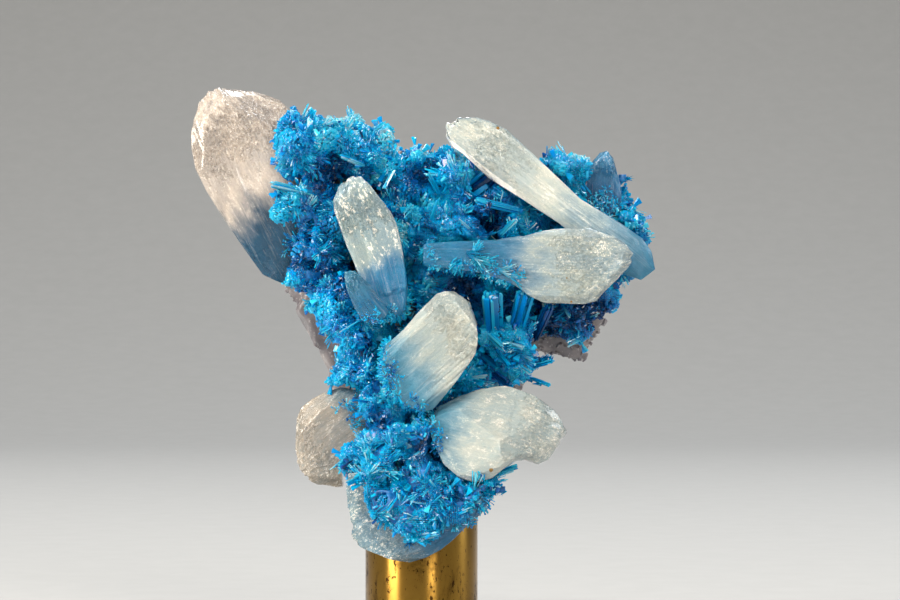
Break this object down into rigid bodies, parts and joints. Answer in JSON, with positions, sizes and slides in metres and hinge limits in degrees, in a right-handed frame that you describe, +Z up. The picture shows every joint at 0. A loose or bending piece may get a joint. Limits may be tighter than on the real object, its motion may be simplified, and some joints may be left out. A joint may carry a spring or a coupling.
{
  "type": "cavansite specimen",
  "caption": "Mineral specimen: spiky blue cavansite druse on a grey matrix, with pale tabular stilbite crystals fanning out of it, standing on a short brass post.",
  "frame": {"origin": "middle of the brass post's flat base, on the surface the specimen stands on", "axes": "+Z up along the post; -Y towards the specimen's show side; +X to the right seen from that side"},
  "size_m": [0.0389, 0.0252, 0.0477],
  "materials": {
    "brass": "turned brass rod, bright, with brown tarnish spots and fine scratches",
    "cavansite": "vitreous translucent blue blades and needles",
    "matrix": "dull grey translucent stilbite crust",
    "stilbite": "milky white to clear crystal, pearly, striated lengthwise, blue at the root"
  },
  "bodies": {
    "root": {"brass_post": "brass", "cavansite_druse": "cavansite", "stilbite_matrix": "matrix", "stilbite_upper_left": "stilbite", "stilbite_long_blade": "stilbite", "stilbite_centre_upright": "stilbite", "stilbite_centre_sliver": "stilbite", "stilbite_middle": "stilbite", "stilbite_right": "stilbite", "stilbite_lower_right": "stilbite", "stilbite_lower_left": "stilbite", "stilbite_foot": "stilbite", "stilbite_right_tip": "stilbite"}
  },
  "joints": []
}
